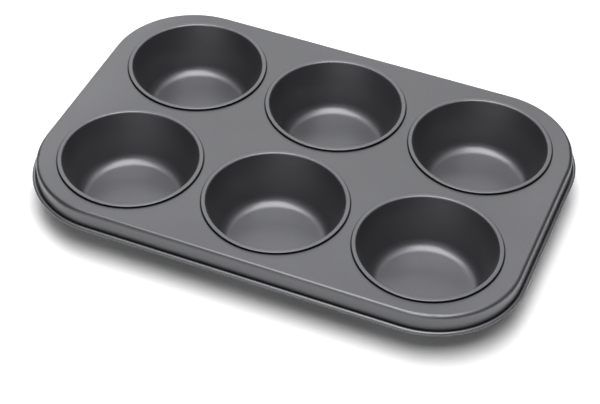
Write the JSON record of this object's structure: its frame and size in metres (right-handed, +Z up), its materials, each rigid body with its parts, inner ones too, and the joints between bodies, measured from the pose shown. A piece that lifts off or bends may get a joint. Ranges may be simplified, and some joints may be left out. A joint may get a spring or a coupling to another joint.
{
  "type": "muffin pan",
  "caption": "Flat deck with round corners, a skirt and a rolled edge, holding two rows of round tapered cups with curled rims, for baking muffins.",
  "frame": {"origin": "centre of the pan, on the plane that the cup undersides rest on", "axes": "+Z up out of the cups, +X along the long side, +Y along the short side"},
  "size_m": [0.265, 0.1794, 0.0287],
  "materials": {
    "coated_steel": "satin dark grey non-stick coating on steel sheet"
  },
  "bodies": {
    "root": {"deck": "coated_steel", "cup_front_left": "coated_steel", "cup_front_middle": "coated_steel", "cup_front_right": "coated_steel", "cup_back_left": "coated_steel", "cup_back_middle": "coated_steel", "cup_back_right": "coated_steel"}
  },
  "joints": []
}
